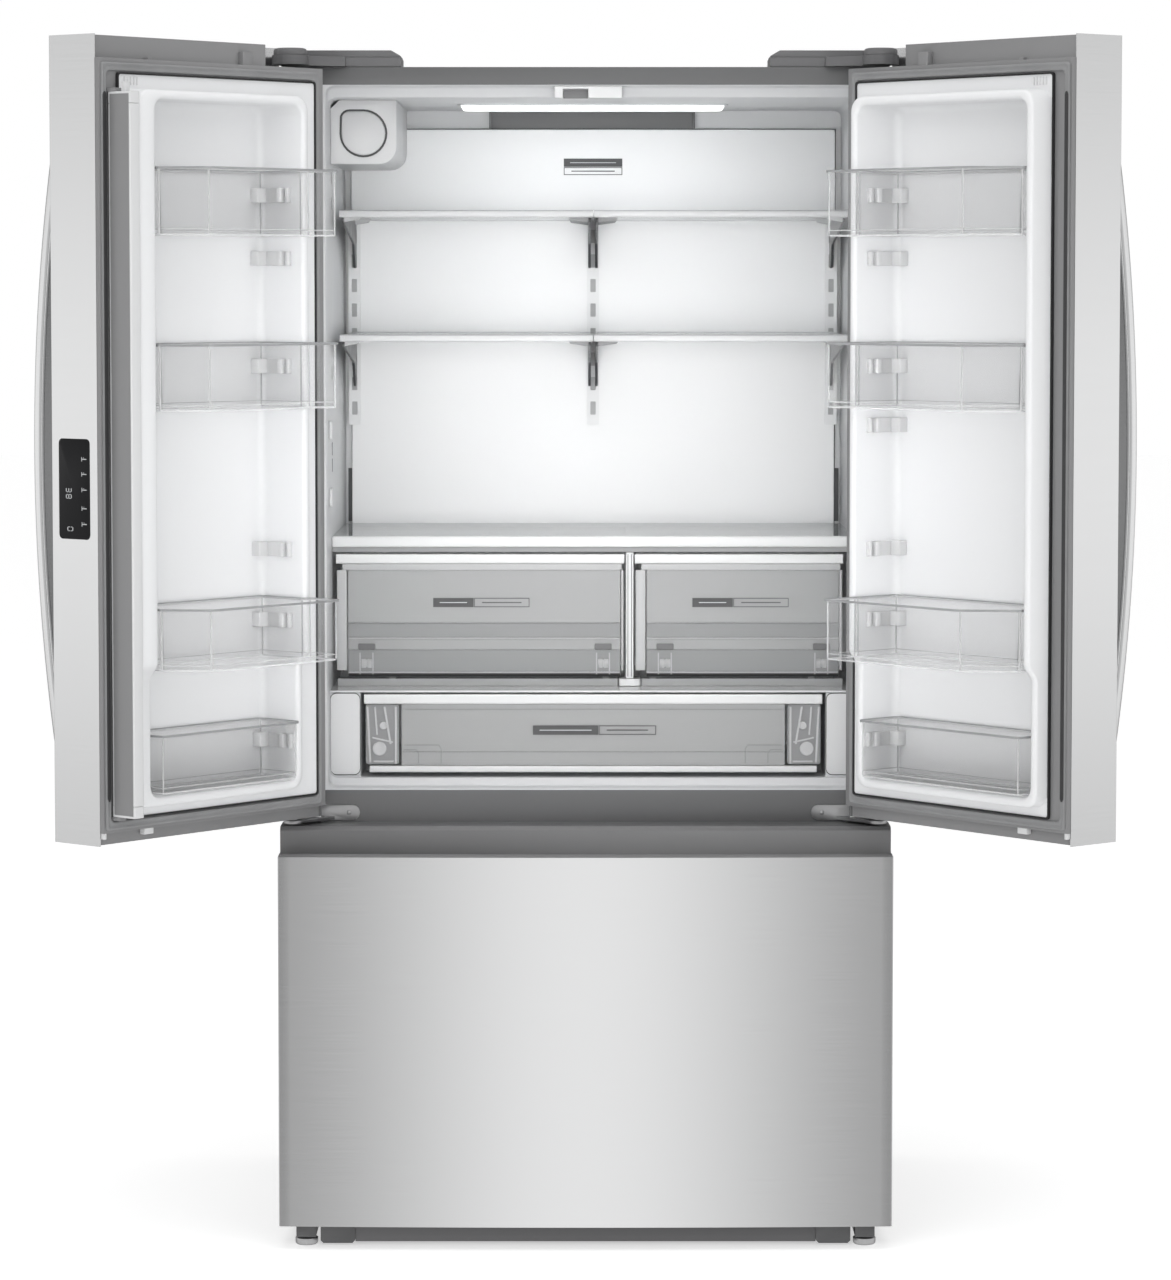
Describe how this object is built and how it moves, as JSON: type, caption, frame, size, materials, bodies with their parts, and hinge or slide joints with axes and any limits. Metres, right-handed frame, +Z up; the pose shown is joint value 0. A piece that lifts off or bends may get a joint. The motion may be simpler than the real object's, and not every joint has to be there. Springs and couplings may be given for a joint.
{
  "type": "french door refrigerator",
  "caption": "Free-standing french door refrigerator with two swinging upper doors, a flip mullion, food drawers and a pull-out freezer drawer below.",
  "frame": {"origin": "centre of the footprint at floor level with both doors open, at rest", "axes": "+Z up, +Y from the front of the object into it, +X to the right of a person facing it"},
  "size_m": [1.5712, 1.0494, 1.77],
  "materials": {
    "painted_cabinet": "grey painted steel, slight sheen",
    "liner_white": "moulded white lining",
    "stainless": "brushed along its width",
    "door_frame_grey": "fine matt mould grain",
    "dark_grey": "fine matt mould grain",
    "seal_grey": "soft grey vinyl",
    "clear_plastic": "clear polished plastic",
    "shelf_glass": "tempered glass with a pale frame",
    "zinc": "bright plated steel",
    "panel_black": "gloss black",
    "lamp_white": "opal lens",
    "compressor_black": "black enamel",
    "coil_metal": "dull coil metal"
  },
  "bodies": {
    "cabinet": {"cabinet_shell": "painted_cabinet", "fridge_liner": "liner_white", "freezer_liner": "liner_white", "rear_cover": "painted_cabinet", "compressor": "compressor_black", "condenser_coil": "coil_metal", "evaporator_coil": "zinc", "freezer_back_panel": "liner_white", "toe_grille": "dark_grey", "left_top_hinge": "dark_grey", "right_top_hinge": "dark_grey", "left_lower_hinge": "zinc", "right_lower_hinge": "zinc", "led_lens": "lamp_white", "filter_housing": "liner_white", "mullion_striker": "liner_white", "back_panel": "liner_white", "upper_left_shelf": "shelf_glass", "upper_right_shelf": "shelf_glass", "lower_left_shelf": "shelf_glass", "lower_right_shelf": "shelf_glass", "crisper_cover": "shelf_glass", "pantry_cover": "clear_plastic", "left_slide_channel": "zinc", "right_slide_channel": "zinc"},
    "left_door": {"left_door_shell": "stainless", "left_door_frame": "door_frame_grey", "left_door_liner": "liner_white", "left_door_gasket": "seal_grey", "left_door_handle": "stainless", "left_door_bin_1": "clear_plastic", "left_door_bin_2": "clear_plastic", "left_door_bin_3": "clear_plastic", "left_door_bin_4": "clear_plastic", "control_panel": "panel_black"},
    "mullion": {"flip_mullion": "liner_white"},
    "right_door": {"right_door_shell": "stainless", "right_door_frame": "door_frame_grey", "right_door_liner": "liner_white", "right_door_gasket": "seal_grey", "right_door_handle": "stainless", "right_door_bin_1": "clear_plastic", "right_door_bin_2": "clear_plastic", "right_door_bin_3": "clear_plastic", "right_door_bin_4": "clear_plastic"},
    "freezer_drawer": {"freezer_front_shell": "stainless", "freezer_front_core": "door_frame_grey", "freezer_gasket": "seal_grey", "freezer_basket": "clear_plastic"},
    "upper_freezer_tray": {"freezer_tray": "clear_plastic"},
    "left_middle_member": {"left_slide_middle": "zinc"},
    "right_middle_member": {"right_slide_middle": "zinc"},
    "left_crisper_drawer": {"left_crisper": "clear_plastic"},
    "right_crisper_drawer": {"right_crisper": "clear_plastic"},
    "pantry": {"pantry_drawer": "clear_plastic"},
    "filter_door": {"filter_cap": "liner_white"},
    "left_foot": {"left_leveling_foot": "zinc"},
    "right_foot": {"right_leveling_foot": "zinc"},
    "rollers": {"rear_rollers": "dark_grey"},
    "fan": {"condenser_fan": "dark_grey"}
  },
  "joints": [
    {"name": "left_door_swing", "type": "hinge", "parent": "cabinet", "child": "left_door", "pos_m": [-0.4315, -0.1478, 0], "axis": [0, 0, -1], "range_deg": [-130, 0]},
    {"name": "right_door_swing", "type": "hinge", "parent": "cabinet", "child": "right_door", "pos_m": [0.4315, -0.1478, 0], "axis": [0, 0, 1], "range_deg": [-130, 0]},
    {"name": "mullion_flip", "type": "hinge", "parent": "left_door", "child": "mullion", "pos_m": [-0.65217, -0.49915, 0], "axis": [0, 0, 1], "range_deg": [-90, 0]},
    {"name": "freezer_slide", "type": "slide", "parent": "cabinet", "child": "freezer_drawer", "axis": [0, -1, 0], "range_m": [0, 0.4]},
    {"name": "tray_slide", "type": "slide", "parent": "freezer_drawer", "child": "upper_freezer_tray", "axis": [0, 1, 0], "range_m": [0, 0.12]},
    {"name": "left_member_slide", "type": "slide", "parent": "cabinet", "child": "left_middle_member", "axis": [0, -1, 0], "range_m": [0, 0.2]},
    {"name": "right_member_slide", "type": "slide", "parent": "cabinet", "child": "right_middle_member", "axis": [0, -1, 0], "range_m": [0, 0.2]},
    {"name": "left_crisper_slide", "type": "slide", "parent": "cabinet", "child": "left_crisper_drawer", "axis": [0, -1, 0], "range_m": [0, 0.25]},
    {"name": "right_crisper_slide", "type": "slide", "parent": "cabinet", "child": "right_crisper_drawer", "axis": [0, -1, 0], "range_m": [0, 0.18]},
    {"name": "pantry_slide", "type": "slide", "parent": "cabinet", "child": "pantry", "axis": [0, -1, 0], "range_m": [0, 0.35]},
    {"name": "filter_door_hinge", "type": "hinge", "parent": "cabinet", "child": "filter_door", "pos_m": [-0.365, 0.0327, 1.65], "axis": [0, 0, -1], "range_deg": [0, 95]},
    {"name": "left_foot_turn", "type": "hinge", "parent": "cabinet", "child": "left_foot", "pos_m": [-0.4145, -0.1488, 0], "axis": [0, 0, 1], "range_deg": [-360, 360]},
    {"name": "right_foot_turn", "type": "hinge", "parent": "cabinet", "child": "right_foot", "pos_m": [0.4145, -0.1488, 0], "axis": [0, 0, 1], "range_deg": [-360, 360]},
    {"name": "roller_spin", "type": "hinge", "parent": "cabinet", "child": "rollers", "pos_m": [0, 0.4662, 0.0165], "axis": [1, 0, 0], "continuous": true},
    {"name": "fan_spin", "type": "hinge", "parent": "cabinet", "child": "fan", "pos_m": [0, 0.3962, 0.135], "axis": [1, 0, 0], "continuous": true}
  ],
  "couplings": [
    {"joint": "left_member_slide", "follows": "freezer_slide", "ratio": 0.5},
    {"joint": "right_member_slide", "follows": "freezer_slide", "ratio": 0.5}
  ]
}
